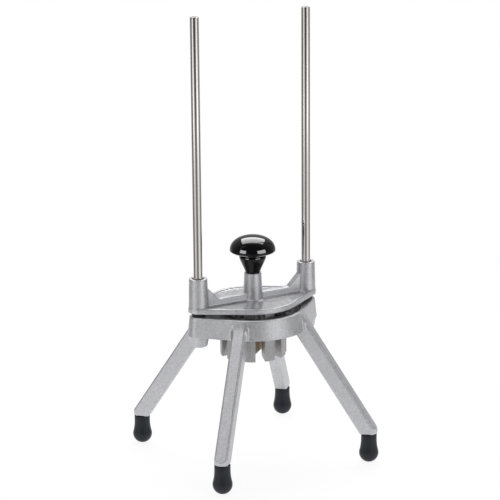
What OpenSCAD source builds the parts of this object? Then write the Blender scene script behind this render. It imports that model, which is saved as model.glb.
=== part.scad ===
// Apple slicer and wedger press.
//
// A cast frame on four splayed legs carries a ring of radial blades round a
// coring tube.  A pusher head runs down two guide rods and drives the fruit
// through the blades with one finger per wedge.  Drawn with the head at rest
// on the frame.  Millimetres, +Z up, X along the pair of rods, -Y the front,
// and the origin on the table under the axis of the cutter.

/* [Guide rods] */
// Diameter of each guide rod
rod_d = 9.525; // [8:0.025:11]
// Distance between the axes of the two rods
rod_spacing = 134; // [128:1:144]
// Height of the rod tops above the table
rod_top_z = 485.7; // [400:0.1:520]
// Chamfer round each rod top
rod_chamfer = 0.8; // [0.3:0.1:1.5]
// Diameter of the screw that pulls each rod onto its shoulder
rod_screw_d = 5; // [4:0.5:6]

/* [Frame casting] */
// Height of the underside of the frame above the table
frame_z = 144.5; // [140:0.5:160]
// Height of the frame's wall
frame_h = 21.5; // [20:0.5:26]
// Outer radius of the ring at the underside
frame_ring_r = 59.2; // [58.5:0.1:62]
// Radius of each rounded end at the underside
frame_end_r = 12.3; // [12:0.1:14]
// Inward draft of the wall over its height
frame_draft = 2.4; // [1:0.1:2.6]
// Bevel round the top edge of the wall
frame_bevel = 0.9; // [0.4:0.1:1.5]
// Height of the rubber bumper round each rod that the head comes to rest over
bumper_h = 4; // [3:0.1:6]
// Radius of the bumpers
bumper_r = 7; // [6.2:0.1:8]
// Depth of the boss below the frame that holds each rod
boss_drop = 12.2; // [11:0.1:16]
// Radius of the boss at its lower end
boss_low_r = 9.3; // [8.5:0.1:9.8]
// Rounding of the boss's lower edge
boss_round = 1.6; // [0.5:0.1:2.5]

/* [Legs and feet] */
// Distance between neighbouring feet
foot_spacing = 182; // [176:1:200]
// Width of a leg
leg_w = 14.6; // [12:0.2:16]
// Thickness of a leg across its slope
leg_t = 17.8; // [16:0.2:19]
// Rounding of the long edges of a leg
leg_round = 2.4; // [1:0.1:4]
// Radius of the fillet between a leg and the wall
leg_fillet = 3; // [1.5:0.1:4]
// Radius of the leg's rounded outer end over the foot
leg_end_r = 9.3; // [8.9:0.1:10]
// Height at which a leg ends on its foot
leg_end_z = 32; // [30:0.5:36]
// How far the leg's centre line lands outside the foot's axis
leg_overhang = 1.4; // [0:0.1:3]
// How far below the frame's underside the leg's centre line leaves the wall
leg_root_drop = 4.2; // [2:0.1:6]
// Largest radius of the rubber foot
foot_r = 10.5; // [10:0.1:12]
// Radius of the foot's collar
foot_collar_r = 8.5; // [8:0.1:8.8]
// Height of the straight part of the collar
foot_collar_h = 6.5; // [5:0.5:9]
// Radius of the flat under the foot
foot_flat_r = 3.4; // [2.5:0.1:5]
// Radius of the pin under each leg that the foot is pushed on
foot_pin_r = 4; // [3:0.1:5]
// Length of that pin
foot_pin_h = 16; // [10:1:18]

/* [Cutter] */
// Number of blades, and of wedges that they cut
blade_count = 10; // [6:1:12]
// Inner diameter of the blade ring
cutter_d = 89; // [86:1:92]
// Wall of the blade ring
ring_wall = 7.4; // [6.6:0.1:8]
// Height of the blade ring
ring_h = 14.8; // [14:0.1:15.5]
// Thickness of a blade
blade_t = 0.9; // [0.6:0.1:1.2]
// Height of a blade
blade_h = 11; // [9:0.5:12]
// Height of the ground bevel along a blade's upper edge
blade_bevel = 2.4; // [1:0.1:3]
// How far each blade is let into the ring
blade_seat = 3.6; // [2.5:0.1:4]
// Solid rim of the ring under the blade slots
slot_floor = 2.2; // [1:0.1:3]
// Outer diameter of the coring tube
core_d = 23; // [22:0.5:25]
// Wall of the coring tube
core_wall = 1; // [0.8:0.1:1.3]
// How far the coring tube stands above the blades
core_rise = 1; // [0.4:0.1:1.2]
// How far the coring tube hangs below the blades
core_drop = 5; // [3:0.5:6]
// Diameter of the screws that hold the blade ring
ring_screw_d = 2.5; // [2:0.1:2.6]

/* [Pusher head] */
// Radius of the middle of the head plate
plate_ring_r = 48; // [46:0.5:52]
// Radius of the rounded ends of the head plate
plate_end_r = 11; // [10.9:0.1:13]
// Height of the plate at its lip
plate_t = 5.7; // [5:0.1:8]
// Depth of the pocket inside the lip
pocket_depth = 1.4; // [0.6:0.1:2]
// Width of the lip round the pocket
lip_w = 3.6; // [2.5:0.1:5]
// Height of the sleeves that run on the rods
sleeve_h = 37.1; // [36.5:0.1:44]
// Radius of a sleeve at its top
sleeve_top_r = 9.8; // [9.2:0.1:10.2]
// Radius of a sleeve at the plate
sleeve_low_r = 10.7; // [10.5:0.1:10.7]
// Height of the middle post that carries the knob
post_h = 34.2; // [30:0.1:40]
// Radius of the post at its top
post_top_r = 9.25; // [8.5:0.05:10]
// Radius of the post at the plate
post_low_r = 10.6; // [10:0.1:12]
// Thickness of the rib between the sleeves and the post
rib_t = 7.5; // [6:0.5:9]
// Height of the rib above the lip
rib_rise = 5.6; // [4:0.1:8]
// How far each gusset climbs up its sleeve above the rib
gusset_h = 14.9; // [6:0.1:18]
// Radius of the fillets at the foot of the rib, post and sleeves
head_fillet = 2.2; // [1:0.1:3]
// Length of each bushing in a sleeve
bush_l = 14; // [10:1:16]
// Wall of a bushing
bush_wall = 1.6; // [1.2:0.1:1.9]
// Depth of each bushing below the end of its sleeve
bush_inset = 1.5; // [0.5:0.1:3]

/* [Pusher block] */
// Outer radius of the fingers
finger_r = 36; // [32:0.5:38]
// Inner radius of the fingers
finger_in_r = 18.4; // [16:0.1:20]
// Length of the fingers below the head plate
finger_l = 56.8; // [48:0.1:64]
// How far the underside of a finger rises towards the middle
finger_rise = 1.9; // [0:0.1:4]
// Width of the slots between the fingers
slot_w = 10.6; // [8:0.1:11]
// Thickness of the disc above the slots
disc_t = 4.6; // [4:0.1:4.8]
// Radius of the plunger that drives out the core
plunger_r = 9.3; // [7.5:0.1:9.6]
// How far the plunger's point hangs below the fingers
plunger_point = 4.2; // [1:0.1:8]
// Diameter of the screws that hold the block
block_screw_d = 5; // [4:0.5:6]
// Radius at which those screws stand
block_screw_x = 27; // [24:0.5:30]

/* [Knob] */
// Diameter of the knob
knob_d = 49.4; // [44:0.2:54]
// Height of the knob's cap
cap_h = 22.1; // [20:0.1:28]
// Radius of the cap's rounded edge
cap_edge_r = 5; // [4:0.1:8]
// Height of the flared neck
neck_h = 15.7; // [13:0.1:20]
// Radius of the neck at the post
neck_low_r = 7.8; // [7:0.1:9]
// Radius of the neck at its top
neck_top_r = 13.7; // [12:0.1:15]
// Height of the collar between the neck and the cap
collar_h = 4.6; // [2:0.1:6]
// How far the collar stands out round the neck
collar_lip = 0.8; // [0.4:0.1:1.2]
// Diameter of the stud between the post and the knob
stud_d = 10; // [8:0.5:11]

/* [Hidden] */
$fn = 96;

// Radial clearance of a seated fit
seat_gap = 0.03;
// Radial clearance of a running fit
run_gap = 0.05;
// Air under the head at rest
rest_gap = 0.3;
// Overlap of shapes that are joined or cut
eps = 0.02;
// Straight steps round each end, and round each side, of a lens outline
end_steps = 16;
ring_steps = 32;
// Straight steps round each corner of a leg's flare, and up its curve
corner_steps = 4;
flare_steps = 4;
// Depth to which the flare is sunk into the wall
flare_bury = 2.5;
// Share of the flare's growth that the leg's sloping upper face takes
flare_rise = 0.3;
// Radial clearance round the hidden threads
thread_gap = 0.05;

rod_r = rod_d / 2;
rod_x = rod_spacing / 2;
frame_top_z = frame_z + frame_h;
bumper_z = frame_top_z + bumper_h;
boss_z = frame_z - boss_drop;
// The rod stands on a shoulder above the screw head's recess
screw_head_h = rod_screw_d;
screw_head_r = rod_screw_d * 0.85;
screw_recess_h = screw_head_h + 0.6;
shoulder_h = 2.6;
rod_seat_z = boss_z + screw_recess_h + shoulder_h;
rod_thread_l = 14;
// Free depth past the end of a threaded shank
thread_rest = 2;
// Radial room round a sunk screw head
head_room = 0.4;

foot_reach = foot_spacing / sqrt(2);
leg_root = [frame_ring_r, frame_z - leg_root_drop];
leg_tip = [foot_reach + leg_overhang, leg_end_z];
leg_slope = atan2(leg_root[1] - leg_tip[1], leg_tip[0] - leg_root[0]);
// Height of the leg's chamfer over the foot's collar
leg_end_chamfer = 1.4;
// Length by which the bar is drawn past both ends before it is cut
leg_lead = 1.3 * leg_t;
// The leg ends this far below the frame's upper face
leg_head_drop = 3;

ring_in_r = cutter_d / 2;
ring_out_r = ring_in_r + ring_wall;
// The ring's upper face lies this far below the frame's
ring_sink = 1;
ring_z = frame_top_z - ring_sink - ring_h;
// The ledge that carries the ring is cut back this far behind its bore
ledge_r = ring_in_r + 1;
blade_z = ring_z + slot_floor;
blade_top_z = blade_z + blade_h;
blade_out_r = ring_in_r + blade_seat;
core_r = core_d / 2;
core_top_z = blade_top_z + core_rise;
core_low_z = blade_z - core_drop;
ring_screw_r = ring_in_r + ring_wall * 0.62;
ring_screw_l = 8;
ring_screw_head_r = ring_screw_d * 0.92;
ring_screw_head_h = ring_screw_d * 0.9;
ring_head_room = 0.2;
// Half width of the flat left along a ground edge
edge_land = 0.08;
wedge = 360 / blade_count;
// Ring screws stand between blades, near the diagonals
ring_screw_angles = [for (q = [45, 135, 225, 315]) (floor(q / wedge) + 0.5) * wedge];

plate_z = bumper_z + rest_gap;
lip_z = plate_z + plate_t;
floor_z = lip_z - pocket_depth;
sleeve_z = plate_z + sleeve_h;
post_z = plate_z + post_h;
rib_z = lip_z + rib_rise;
sleeve_bore_r = rod_r + run_gap + bush_wall;
bush_in_r = rod_r + run_gap;
plate_bevel = 0.6;

slot_top_z = plate_z - disc_t;
finger_z = plate_z - finger_l;
plunger_tip_z = finger_z - plunger_point;
spigot_r = stud_d / 2;
spigot_l = 14;
stud_l = 32;
stud_z = post_z - stud_l / 2;
block_screw_l = 12;
gusset_bury = 1;
finger_chamfer = 0.8;
plunger_flat_r = 0.6;
block_head_r = block_screw_d * 0.95;
block_head_h = block_head_r - block_screw_d / 2;

knob_z = post_z;
collar_z = knob_z + neck_h;
cap_z = collar_z + collar_h;
cap_top_z = cap_z + cap_h;
knob_r = knob_d / 2;

aluminium = [0.70, 0.71, 0.73];
polished = [0.78, 0.78, 0.79];
steel = [0.82, 0.82, 0.82];
bronze = [0.62, 0.50, 0.32];
rubber = [0.16, 0.17, 0.21];
black = [0.06, 0.06, 0.07];

// ---------------------------------------------------------------- helpers

// Repeats its children at the left rod and, mirrored, at the right one
module both_rods() {
    for (side = [-1, 1])
        translate([side * rod_x, 0, 0])
            children();
}

// Repeats its children at the four leg azimuths, drawn along +X
module each_leg() {
    for (azimuth = [45, 135, 225, 315])
        rotate(azimuth)
            children();
}

// Points of a lens outline, anticlockwise: a ring at the origin joined by
// tangents to a rounded end over each rod
function lens_outline(ring_r, end_r) =
    let (lean = acos((ring_r - end_r) / rod_x), open = 180 - 2 * lean)
    concat(
        [for (i = [0 : end_steps]) arc_point(rod_x, end_r, lean * (2 * i / end_steps - 1))],
        [for (i = [0 : ring_steps]) arc_point(0, ring_r, lean + open * i / ring_steps)],
        [for (i = [0 : end_steps]) arc_point(-rod_x, end_r, 180 + lean * (2 * i / end_steps - 1))],
        [for (i = [0 : ring_steps]) arc_point(0, ring_r, 180 + lean + open * i / ring_steps)]);

function arc_point(x, r, angle) = [x + r * cos(angle), r * sin(angle)];

// A solid through such outlines, each level given as [height, ring_r, end_r]
module lens_solid(levels) {
    n = len(lens_outline(levels[0][1], levels[0][2]));
    top = (len(levels) - 1) * n;
    polyhedron(
        points = [
            for (level = levels, p = lens_outline(level[1], level[2]))
                [p[0], p[1], level[0]]
        ],
        faces = concat(
            [[for (i = [0 : n - 1]) i]],
            [for (k = [0 : n : top - n], i = [0 : n - 1])
                [k + n + i, k + n + (i + 1) % n, k + (i + 1) % n, k + i]],
            [[for (i = [n - 1 : -1 : 0]) top + i]]));
}

// Upright hole from one height to another
module hole(r, z0, z1) {
    translate([0, 0, z0])
        cylinder(h = z1 - z0, r = r);
}

// Concave fillet round the foot of an upright cylinder
module ring_fillet(r, z, size) {
    translate([0, 0, z])
        rotate_extrude()
            translate([r - eps, -eps])
                difference() {
                    square(size + eps);
                    translate([size + eps, size + eps])
                        circle(size);
                }
}

// Concave fillets along both feet of an upright wall that runs along X
module wall_fillets(length, wall_t, z, size) {
    for (side = [0, 1])
        mirror([0, side, 0])
            translate([-length / 2, wall_t / 2 - eps, z - eps])
                rotate([90, 0, 90])
                    linear_extrude(length)
                        difference() {
                            square(size + eps);
                            translate([size + eps, size + eps])
                                circle(size);
                        }
}

// A screw standing on its cap head, the head's underside at height z
module cap_screw(d, length, head_r, head_h, z) {
    translate([0, 0, z])
        cylinder(h = length, r = d / 2);
    difference() {
        translate([0, 0, z - head_h])
            cylinder(h = head_h, r = head_r);
        translate([0, 0, z - head_h - eps])
            cylinder(h = head_h * 0.55, r = d * 0.45, $fn = 6);
    }
}

// ---------------------------------------------------------- frame casting

module lower_boss() {
    top_r = frame_end_r - 0.8;
    translate([0, 0, boss_z + boss_round])
        cylinder(h = boss_drop - boss_round + eps, r1 = boss_low_r, r2 = top_r);
    translate([0, 0, boss_z])
        rotate_extrude() {
            square([boss_low_r - boss_round, boss_round + eps]);
            intersection() {
                translate([boss_low_r - boss_round, boss_round])
                    circle(boss_round);
                square([boss_low_r, boss_round + eps]);
            }
        }
}

// Rounded bar along the slope of a leg, from inside the ring to past the foot
module leg_bar() {
    length = norm(leg_tip - leg_root);
    translate([leg_root[0], 0, leg_root[1]])
        rotate([0, 90 + leg_slope, 0])
            translate([0, 0, -leg_lead])
                linear_extrude(length + 2 * leg_lead)
                    rounded_rect(leg_t, leg_w, leg_round);
}

module rounded_rect(x, y, r) {
    square([x - 2 * r, y], center = true);
    square([x, y - 2 * r], center = true);
    for (i = [-1, 1], j = [-1, 1])
        translate([i * (x / 2 - r), j * (y / 2 - r)])
            circle(r);
}

// Side view of the space that the leg fills, cut level over the foot
module leg_window() {
    out = leg_tip[0] + leg_t;
    rotate([90, 0, 0])
        linear_extrude(leg_w + 2, center = true)
            polygon([
                [ring_in_r, frame_z - frame_h],
                [foot_reach - foot_collar_r - leg_t, leg_end_z],
                [out, leg_end_z],
                [out, leg_end_z + leg_t],
                [frame_ring_r + leg_t, frame_top_z - leg_head_drop],
                [ring_in_r, frame_top_z - leg_head_drop]
            ]);
}

// The leg's outer end is round over the foot, with a chamfer down to the collar
module leg_end_window() {
    translate([0, -leg_w, leg_end_z])
        cube([foot_reach, 2 * leg_w, frame_z]);
    translate([foot_reach, 0, leg_end_z]) {
        cylinder(h = leg_end_chamfer, r1 = foot_collar_r, r2 = leg_end_r);
        translate([0, 0, leg_end_chamfer - eps])
            cylinder(h = leg_t, r = leg_end_r);
    }
}

// Outline of the leg's section, grown by a margin
function leg_section(grow) = [
    for (q = [[1, 1, 0], [-1, 1, 90], [-1, -1, 180], [1, -1, 270]], i = [0 : corner_steps])
        let (a = q[2] + 90 * i / corner_steps)
        [q[0] * (leg_t / 2 - leg_round) + (leg_round + flare_rise * grow) * cos(a),
         q[1] * (leg_w / 2 - leg_round) + (leg_round + grow) * sin(a)]];

// Where the line along the leg through a point of its section stands a
// distance out from the drafted wall
function leg_point(p, out) =
    let (lean = frame_draft / (frame_h - frame_bevel),
         up = frame_z - leg_root_drop + p[0] * cos(leg_slope),
         along = (out - p[0] * sin(leg_slope) - lean * (up - frame_z))
                 / (cos(leg_slope) - lean * sin(leg_slope)))
    [frame_ring_r + p[0] * sin(leg_slope) + along * cos(leg_slope), p[1],
     up - along * sin(leg_slope)];

// Concave flare of the leg where it leaves the wall, down to the wall's underside
module leg_flare() {
    n = 4 * (corner_steps + 1);
    outs = concat([-flare_bury], [for (i = [0 : flare_steps]) leg_fillet * (1 - cos(90 * i / flare_steps))]);
    grows = concat([leg_fillet], [for (i = [0 : flare_steps]) leg_fillet * (1 - sin(90 * i / flare_steps)) - eps]);
    top = (len(outs) - 1) * n;
    intersection() {
        polyhedron(
            points = [
                for (k = [0 : len(outs) - 1], p = leg_section(grows[k]))
                    leg_point(p, outs[k])
            ],
            faces = concat(
                [[for (i = [n - 1 : -1 : 0]) i]],
                [for (k = [0 : n : top - n], i = [0 : n - 1])
                    [k + i, k + (i + 1) % n, k + n + i]],
                [for (k = [0 : n : top - n], i = [0 : n - 1])
                    [k + (i + 1) % n, k + n + (i + 1) % n, k + n + i]],
                [[for (i = [0 : n - 1]) top + i]]));
        translate([0, -leg_w, frame_z + rest_gap])
            cube([frame_ring_r + leg_t, 2 * leg_w, frame_h - leg_head_drop]);
    }
}

module leg() {
    intersection() {
        leg_bar();
        leg_window();
        leg_end_window();
    }
    leg_flare();
    translate([foot_reach, 0, leg_end_z - foot_pin_h])
        cylinder(h = foot_pin_h + leg_t / 4, r = foot_pin_r);
}

module base_frame() {
    top_ring = frame_ring_r - frame_draft;
    top_end = frame_end_r - frame_draft;
    color(aluminium)
        difference() {
            union() {
                lens_solid([
                    [frame_z, frame_ring_r, frame_end_r],
                    [frame_top_z - frame_bevel, top_ring, top_end],
                    [frame_top_z, top_ring - frame_bevel, top_end - frame_bevel]
                ]);
                both_rods()
                    lower_boss();
                each_leg()
                    leg();
            }
            hole(ledge_r, frame_z - frame_h, frame_top_z + eps);
            hole(ring_out_r + seat_gap, ring_z, frame_top_z + eps);
            both_rods() {
                hole(rod_r + seat_gap, rod_seat_z, frame_top_z + eps);
                hole(rod_screw_d / 2 + thread_gap, boss_z - eps, frame_top_z);
                hole(screw_head_r + head_room, boss_z - eps, boss_z + screw_recess_h);
            }
            for (a = ring_screw_angles)
                rotate(a)
                    translate([ring_screw_r, 0, 0])
                        hole(ring_screw_d / 2 + thread_gap, ring_z - ring_screw_l * 0.55, ring_z + eps);
        }
}

// -------------------------------------------------------------------- feet

// Half section of the rubber foot: a bulb with a waisted collar
module foot_profile() {
    bulb_z = sqrt(foot_r * foot_r - foot_flat_r * foot_flat_r);
    waist_z = leg_end_z - foot_collar_h;
    // The waist's arc meets the collar upright and the bulb smoothly
    dx = foot_collar_r;
    dz = waist_z - bulb_z;
    waist_r = (dx * dx + dz * dz - foot_r * foot_r) / (2 * (foot_r - dx));
    touch = foot_r / (foot_r + waist_r);
    intersection() {
        difference() {
            union() {
                translate([0, bulb_z])
                    circle(foot_r);
                translate([0, waist_z - eps])
                    square([foot_collar_r, foot_collar_h + eps]);
                polygon([
                    [0, bulb_z],
                    [(dx + waist_r) * touch, bulb_z + dz * touch],
                    [dx + waist_r, waist_z],
                    [0, waist_z]
                ]);
            }
            translate([dx + waist_r, waist_z])
                circle(waist_r);
        }
        square([foot_r + 1, leg_end_z]);
    }
}

module foot(azimuth) {
    color(rubber)
        rotate(azimuth)
            translate([foot_reach, 0, 0])
                difference() {
                    rotate_extrude()
                        foot_profile();
                    hole(foot_pin_r + seat_gap, leg_end_z - foot_pin_h - rest_gap, leg_end_z + eps);
                }
}

// -------------------------------------------------------------------- rods

module rod(side) {
    color(steel)
        translate([side * rod_x, 0, 0])
            difference() {
                union() {
                    hole(rod_r, rod_seat_z, rod_top_z - rod_chamfer);
                    translate([0, 0, rod_top_z - rod_chamfer])
                        cylinder(h = rod_chamfer, r1 = rod_r, r2 = rod_r - rod_chamfer);
                }
                hole(rod_screw_d / 2 + thread_gap, rod_seat_z - eps, rod_seat_z + rod_thread_l + thread_rest);
            }
}

module rod_screw(side) {
    color(steel)
        translate([side * rod_x, 0, 0])
            cap_screw(rod_screw_d, rod_seat_z - boss_z - screw_recess_h + rod_thread_l,
                      screw_head_r, screw_head_h, boss_z + screw_recess_h);
}

// Rubber ring round the foot of a rod, on the frame's upper face
module bumper(side) {
    color(rubber)
        translate([side * rod_x, 0, 0])
            difference() {
                hole(bumper_r, frame_top_z, bumper_z);
                hole(rod_r + seat_gap, frame_top_z - eps, bumper_z + eps);
            }
}

// ------------------------------------------------------------------ cutter

module blade_ring() {
    color(polished)
        difference() {
            hole(ring_out_r, ring_z, ring_z + ring_h);
            hole(ring_in_r, ring_z - eps, ring_z + ring_h + eps);
            for (i = [0 : blade_count - 1])
                rotate(i * wedge)
                    translate([0, -blade_t / 2 - seat_gap, blade_z])
                        cube([blade_out_r + seat_gap, blade_t + 2 * seat_gap, ring_h]);
            for (a = ring_screw_angles)
                rotate(a)
                    translate([ring_screw_r, 0, 0]) {
                        hole(ring_screw_d / 2 + thread_gap, ring_z - eps, ring_z + ring_h);
                        hole(ring_screw_head_r + ring_head_room, ring_z + ring_h - ring_screw_d,
                             ring_z + ring_h + eps);
                    }
        }
}

module ring_screws() {
    shank = ring_h - ring_screw_d + ring_screw_l * 0.5;
    color(steel)
        for (a = ring_screw_angles)
            rotate(a)
                translate([ring_screw_r, 0, ring_z + ring_h - ring_screw_d])
                    rotate([180, 0, 0])
                        cap_screw(ring_screw_d, shank, ring_screw_head_r, ring_screw_head_h, 0);
}

module core_tube() {
    core_in_r = core_r - core_wall;
    color(polished)
        translate([0, 0, core_low_z])
            rotate_extrude()
                polygon([
                    [core_in_r, 0],
                    [core_r, 0],
                    [core_r, core_top_z - core_low_z - 1.5 * core_wall],
                    [core_in_r + edge_land, core_top_z - core_low_z],
                    [core_in_r, core_top_z - core_low_z]
                ]);
}

// One knife: a strip with its upper edge ground on both faces
module blade(index) {
    color(polished)
        if (index < blade_count)
            rotate(index * wedge)
                difference() {
                    translate([0, 0, blade_z])
                        rotate([90, 0, 90])
                            linear_extrude(blade_out_r)
                                polygon([
                                    [-blade_t / 2, 0],
                                    [blade_t / 2, 0],
                                    [blade_t / 2, blade_h - blade_bevel],
                                    [edge_land, blade_h],
                                    [-edge_land, blade_h],
                                    [-blade_t / 2, blade_h - blade_bevel]
                                ]);
                    hole(core_r + seat_gap, blade_z - eps, blade_top_z + eps);
                }
}

// ------------------------------------------------------------- pusher head

// Triangular gusset from the rib up the inner side of a sleeve
module gusset(side) {
    top_x = rod_x - sleeve_top_r + gusset_bury;
    rotate([90, 0, 0])
        linear_extrude(rib_t, center = true)
            polygon([
                [side * rod_x, rib_z - eps],
                [side * (top_x - gusset_h), rib_z - eps],
                [side * top_x, rib_z + gusset_h],
                [side * rod_x, rib_z + gusset_h]
            ]);
}

module head_casting() {
    pocket_ring = plate_ring_r - lip_w;
    pocket_end = plate_end_r - lip_w;
    color(aluminium)
        difference() {
            union() {
                difference() {
                    lens_solid([
                        [plate_z, plate_ring_r, plate_end_r],
                        [lip_z - plate_bevel, plate_ring_r, plate_end_r],
                        [lip_z, plate_ring_r - plate_bevel, plate_end_r - plate_bevel]
                    ]);
                    lens_solid([
                        [floor_z, pocket_ring, pocket_end],
                        [lip_z + plate_t, pocket_ring, pocket_end]
                    ]);
                }
                both_rods() {
                    translate([0, 0, plate_z])
                        cylinder(h = sleeve_h, r1 = sleeve_low_r, r2 = sleeve_top_r);
                }
                translate([0, 0, plate_z])
                    cylinder(h = post_h, r1 = post_low_r, r2 = post_top_r);
                ring_fillet(post_low_r - 0.2, floor_z, head_fillet);
                translate([-rod_x, -rib_t / 2, plate_z])
                    cube([rod_spacing, rib_t, rib_z - plate_z]);
                wall_fillets(rod_spacing - sleeve_low_r, rib_t, floor_z, head_fillet);
                for (side = [-1, 1])
                    gusset(side);
            }
            both_rods()
                hole(sleeve_bore_r, plate_z - eps, sleeve_z + eps);
            hole(spigot_r + thread_gap, plate_z - eps, post_z + eps);
            for (side = [-1, 1])
                translate([side * block_screw_x, 0, 0])
                    hole(block_screw_d / 2 + thread_gap, plate_z - eps, slot_top_z + block_screw_l + rest_gap);
        }
}

// A plain bushing with its lower end at height z
module bushing(side, z) {
    color(bronze)
        translate([side * rod_x, 0, 0])
            difference() {
                hole(sleeve_bore_r - seat_gap, z, z + bush_l);
                hole(bush_in_r, z - eps, z + bush_l + eps);
            }
}

module upper_bushing(side) {
    bushing(side, sleeve_z - bush_inset - bush_l);
}

module lower_bushing(side) {
    bushing(side, plate_z + bush_inset);
}

// ------------------------------------------------------------ pusher block

module finger_body() {
    rotate_extrude()
        polygon([
            [finger_in_r, finger_z + finger_rise],
            [finger_r - finger_chamfer, finger_z],
            [finger_r, finger_z + finger_chamfer],
            [finger_r, plate_z],
            [0, plate_z],
            [0, slot_top_z],
            [finger_in_r, slot_top_z]
        ]);
}

module pusher_block() {
    color(aluminium)
        difference() {
            finger_body();
            for (i = [0 : blade_count - 1])
                rotate(i * wedge)
                    translate([0, -slot_w / 2, finger_z - 1])
                        cube([finger_r + 1, slot_w, slot_top_z - finger_z + 1]);
            hole(spigot_r + thread_gap, slot_top_z - eps, plate_z + eps);
            for (side = [-1, 1])
                translate([side * block_screw_x, 0, 0]) {
                    hole(block_screw_d / 2 + thread_gap, slot_top_z - eps, plate_z + eps);
                    translate([0, 0, slot_top_z - eps])
                        cylinder(h = block_head_h + eps, r1 = block_head_r + thread_gap,
                                 r2 = block_screw_d / 2 + thread_gap);
                }
        }
}

// Flat-head screws, flush with the roof of the slots
module block_screws() {
    color(steel)
        for (side = [-1, 1])
            translate([side * block_screw_x, 0, slot_top_z])
                difference() {
                    union() {
                        cylinder(h = block_head_h, r1 = block_head_r, r2 = block_screw_d / 2);
                        cylinder(h = block_screw_l, r = block_screw_d / 2);
                    }
                    translate([0, 0, -eps])
                        cylinder(h = block_head_h, r = block_screw_d * 0.3, $fn = 6);
                }
}

// The plunger that follows the core through the coring tube
module core_plunger() {
    color(steel)
        rotate_extrude()
            polygon([
                [0, plunger_tip_z + plunger_flat_r],
                [plunger_flat_r, plunger_tip_z + plunger_flat_r],
                [plunger_r, plunger_tip_z + plunger_r],
                [plunger_r, slot_top_z],
                [spigot_r, slot_top_z],
                [spigot_r, slot_top_z + disc_t + spigot_l],
                [0, slot_top_z + disc_t + spigot_l]
            ]);
}

// -------------------------------------------------------------------- knob

module knob_stud() {
    color(steel)
        hole(stud_d / 2, stud_z, stud_z + stud_l);
}

// Half section of the knob: a domed cap on a collar and a flared neck
module knob_profile() {
    edge_x = knob_r - cap_edge_r;
    edge_z = cap_z + cap_edge_r;
    rise = cap_h - cap_edge_r;
    // Dome that touches the rounded edge from outside and the cap's top
    dome_r = (edge_x * edge_x + rise * rise - cap_edge_r * cap_edge_r) / (2 * (rise - cap_edge_r));
    dome_z = cap_top_z - dome_r;
    reach = dome_r / (dome_r - cap_edge_r);
    intersection() {
        union() {
            translate([edge_x, edge_z])
                circle(cap_edge_r);
            intersection() {
                translate([0, dome_z])
                    circle(dome_r);
                polygon([
                    [0, dome_z],
                    [edge_x * reach, dome_z + (edge_z - dome_z) * reach],
                    [knob_r, cap_top_z + 1],
                    [0, cap_top_z + 1]
                ]);
            }
            polygon([[0, cap_z], [edge_x, cap_z], [edge_x, edge_z], [0, max(dome_z, edge_z)]]);
            translate([0, collar_z])
                square([neck_top_r + collar_lip, collar_h + eps]);
            polygon([
                [0, knob_z],
                [neck_low_r, knob_z],
                [neck_top_r, collar_z + eps],
                [0, collar_z + eps]
            ]);
        }
        translate([0, knob_z])
            square([knob_r, cap_top_z - knob_z]);
    }
}

module knob() {
    color(black)
        difference() {
            rotate_extrude()
                knob_profile();
            hole(stud_d / 2 + thread_gap, knob_z - eps, stud_z + stud_l + thread_rest);
        }
}

base_frame();
foot(45);  // foot_back_right
foot(135);  // foot_back_left
foot(225);  // foot_front_left
foot(315);  // foot_front_right
rod(-1);  // rod_left
rod(1);  // rod_right
rod_screw(-1);  // rod_screw_left
rod_screw(1);  // rod_screw_right
bumper(-1);  // bumper_left
bumper(1);  // bumper_right
blade_ring();
ring_screws();
core_tube();
blade(0);  // blade_1
blade(1);  // blade_2
blade(2);  // blade_3
blade(3);  // blade_4
blade(4);  // blade_5
blade(5);  // blade_6
blade(6);  // blade_7
blade(7);  // blade_8
blade(8);  // blade_9
blade(9);  // blade_10
head_casting();
upper_bushing(-1);  // bush_left_upper
lower_bushing(-1);  // bush_left_lower
upper_bushing(1);  // bush_right_upper
lower_bushing(1);  // bush_right_lower
pusher_block();
block_screws();
core_plunger();
knob_stud();
knob();
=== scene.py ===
"""Countertop apple press: a blade ring in a cast frame on four legs, and a pusher head on two rods.

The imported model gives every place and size. Castings, rods, feet, knob, pusher block and plunger
are modelled here over their nodes. The cutter, the bushings, the bumpers and the fasteners keep
their nodes and get their finishes.
"""

from __future__ import annotations

import logging
import math
from dataclasses import dataclass, field
from enum import Enum
from typing import Callable, Sequence

import bpy
from mathutils import Matrix, Vector


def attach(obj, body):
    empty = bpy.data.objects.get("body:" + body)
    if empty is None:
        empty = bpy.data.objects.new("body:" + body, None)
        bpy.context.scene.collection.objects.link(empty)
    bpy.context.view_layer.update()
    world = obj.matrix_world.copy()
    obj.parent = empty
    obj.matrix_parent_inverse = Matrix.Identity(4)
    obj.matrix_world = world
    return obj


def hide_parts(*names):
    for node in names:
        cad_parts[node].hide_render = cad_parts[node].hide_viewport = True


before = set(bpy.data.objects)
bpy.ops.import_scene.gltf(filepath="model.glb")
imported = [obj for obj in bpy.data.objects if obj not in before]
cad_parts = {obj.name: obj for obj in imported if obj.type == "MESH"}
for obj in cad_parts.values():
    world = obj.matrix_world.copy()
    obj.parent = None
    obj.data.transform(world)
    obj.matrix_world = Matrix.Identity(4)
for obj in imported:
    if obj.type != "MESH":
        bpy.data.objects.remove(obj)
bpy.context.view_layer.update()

log = logging.getLogger("press")

MM = 0.001
WELD = 0.001  # millimetres under which two points are one
START_R = 10.0  # radius of a circle whose points are placed afterwards
LEAST_INSET = 0.0001  # what an inset of nothing is given, so that it makes new edges
MOST_TRIANGLES = 190000  # of one piece
CAST_ANGLE = 80.0  # a casting is shaded smooth up to this angle
Point = tuple[float, float]
Place = tuple[float, float, float]
Colour = tuple[float, float, float]


class Body(str, Enum):
    """The rigid bodies that pieces ride on."""

    BASE = "base"
    PUSHER = "pusher"


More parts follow.
